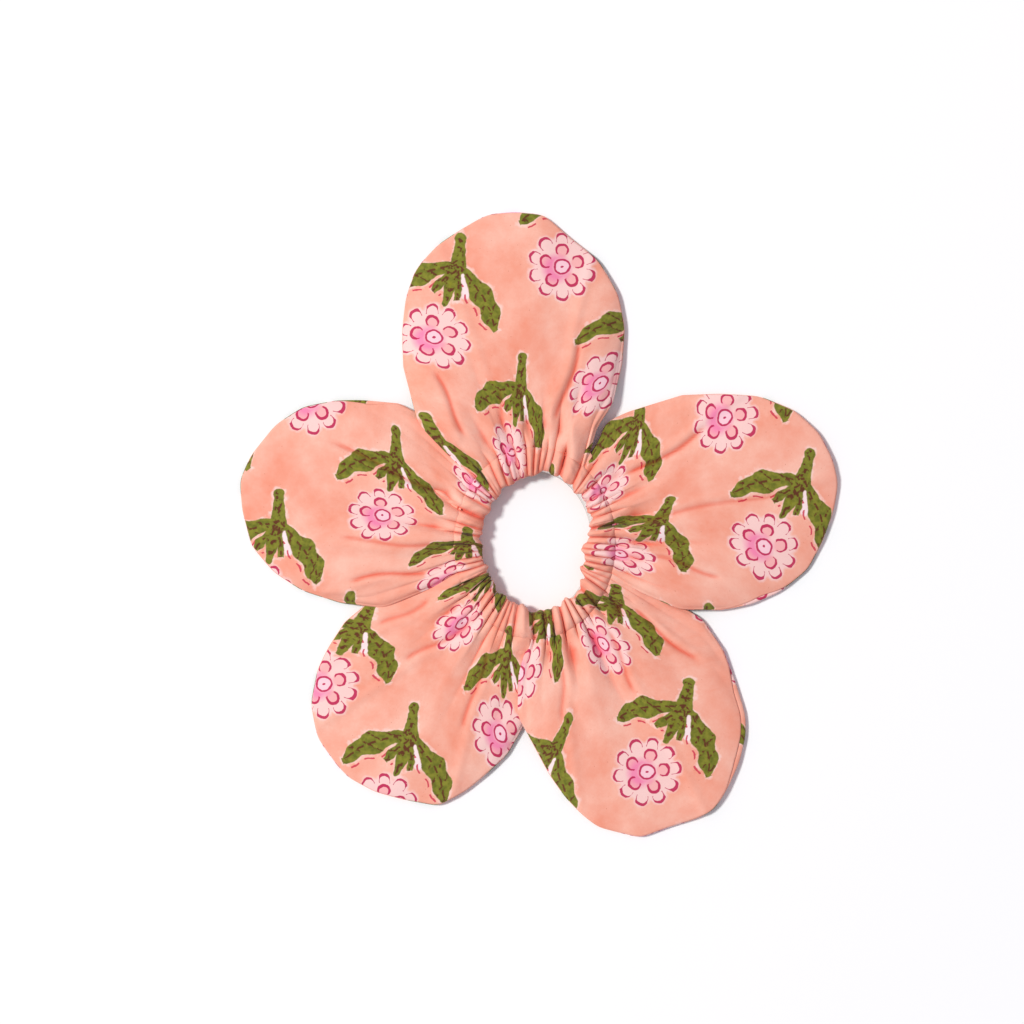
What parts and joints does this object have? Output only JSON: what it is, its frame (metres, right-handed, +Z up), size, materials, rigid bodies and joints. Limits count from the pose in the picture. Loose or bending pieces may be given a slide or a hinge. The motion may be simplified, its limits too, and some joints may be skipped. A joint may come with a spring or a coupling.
{
  "type": "scrunchie",
  "caption": "Flower-shaped hair tie lying flat: double cotton petals round a gathered elastic casing with an oval hair hole.",
  "frame": {"origin": "middle of the bounding box's underside, on the surface that the scrunchie lies on", "axes": "+Z up out of the front face, through its thickness; +Y towards the top petal; +X towards the right petal"},
  "size_m": [0.1544, 0.1622, 0.007],
  "materials": {
    "front_cotton": "matt printed plain-weave cotton, peach with pink blooms and olive leaves",
    "back_cotton": "matt printed plain-weave cotton, the same cloth as the front",
    "gathered_cotton": "the same cotton, finely gathered",
    "sewing_thread": "polyester thread, slight sheen",
    "braided_elastic": "flat braided white elastic"
  },
  "bodies": {
    "ring_top": {"casing_top": "gathered_cotton", "channel_stitch_top": "sewing_thread", "elastic_band": "braided_elastic", "elastic_join_stitches": "sewing_thread", "closing_stitches": "sewing_thread"},
    "ring_right": {"casing_right": "gathered_cotton", "channel_stitch_right": "sewing_thread"},
    "ring_lower_right": {"casing_lower_right": "gathered_cotton", "channel_stitch_lower_right": "sewing_thread"},
    "ring_closing": {"casing_closing": "gathered_cotton"},
    "ring_lower_left": {"casing_lower_left": "gathered_cotton", "channel_stitch_lower_left": "sewing_thread"},
    "ring_left": {"casing_left": "gathered_cotton", "channel_stitch_left": "sewing_thread"},
    "petal_top": {"front_petal_top": "front_cotton", "back_petal_top": "back_cotton", "edge_seam_top": "sewing_thread"},
    "petal_right": {"front_petal_right": "front_cotton", "back_petal_right": "back_cotton", "edge_seam_right": "sewing_thread"},
    "petal_lower_right": {"front_petal_lower_right": "front_cotton", "back_petal_lower_right": "back_cotton", "edge_seam_lower_right": "sewing_thread"},
    "petal_lower_left": {"front_petal_lower_left": "front_cotton", "back_petal_lower_left": "back_cotton", "edge_seam_lower_left": "sewing_thread"},
    "petal_left": {"front_petal_left": "front_cotton", "back_petal_left": "back_cotton", "edge_seam_left": "sewing_thread"}
  },
  "joints": [
    {"name": "stretch_right", "type": "slide", "parent": "ring_top", "child": "ring_right", "axis": [0.8339, -0.5519, 0], "range_m": [0, 0.02036], "stiffness_N_per_m": 100, "deforming": ["elastic_band"]},
    {"name": "stretch_lower_right", "type": "slide", "parent": "ring_right", "child": "ring_lower_right", "axis": [-0.3584, -0.9336, 0], "range_m": [0, 0.01971], "deforming": ["elastic_band"]},
    {"name": "stretch_closing", "type": "slide", "parent": "ring_lower_right", "child": "ring_closing", "axis": [-0.9986, 0.0523, 0], "range_m": [0, 0.0179], "deforming": ["elastic_band"]},
    {"name": "stretch_left", "type": "slide", "parent": "ring_top", "child": "ring_left", "axis": [-0.7431, -0.6691, 0], "range_m": [0, 0.01881], "deforming": ["elastic_band"]},
    {"name": "stretch_lower_left", "type": "slide", "parent": "ring_left", "child": "ring_lower_left", "axis": [0.3502, -0.9367, 0], "range_m": [0, 0.0172], "deforming": ["elastic_band"]},
    {"name": "fold_top", "type": "hinge", "parent": "ring_top", "child": "petal_top", "pos_m": [-0.00378, 0.02095, 0.0013], "axis": [0.9945, 0.1045, 0], "range_deg": [-45, 45]},
    {"name": "fold_right", "type": "hinge", "parent": "ring_right", "child": "petal_right", "pos_m": [0.02032, 0.00159, 0.0013], "axis": [0.2924, -0.9563, 0], "range_deg": [-45, 45]},
    {"name": "fold_lower_right", "type": "hinge", "parent": "ring_lower_right", "child": "petal_lower_right", "pos_m": [0.01171, -0.02618, 0.0013], "axis": [-0.8572, -0.515, 0], "range_deg": [-45, 45]},
    {"name": "fold_lower_left", "type": "hinge", "parent": "ring_lower_left", "child": "petal_lower_left", "pos_m": [-0.01571, -0.02439, 0.0013], "axis": [-0.7986, 0.6018, 0], "range_deg": [-45, 45]},
    {"name": "fold_left", "type": "hinge", "parent": "ring_left", "child": "petal_left", "pos_m": [-0.0228, -0.00032, 0.0013], "axis": [0.2079, 0.9781, 0], "range_deg": [-45, 45]}
  ],
  "couplings": [
    {"joint": "stretch_lower_right", "follows": "stretch_right", "ratio": 0.9679},
    {"joint": "stretch_closing", "follows": "stretch_right", "ratio": 0.87913},
    {"joint": "stretch_left", "follows": "stretch_right", "ratio": 0.92408},
    {"joint": "stretch_lower_left", "follows": "stretch_right", "ratio": 0.84471}
  ]
}
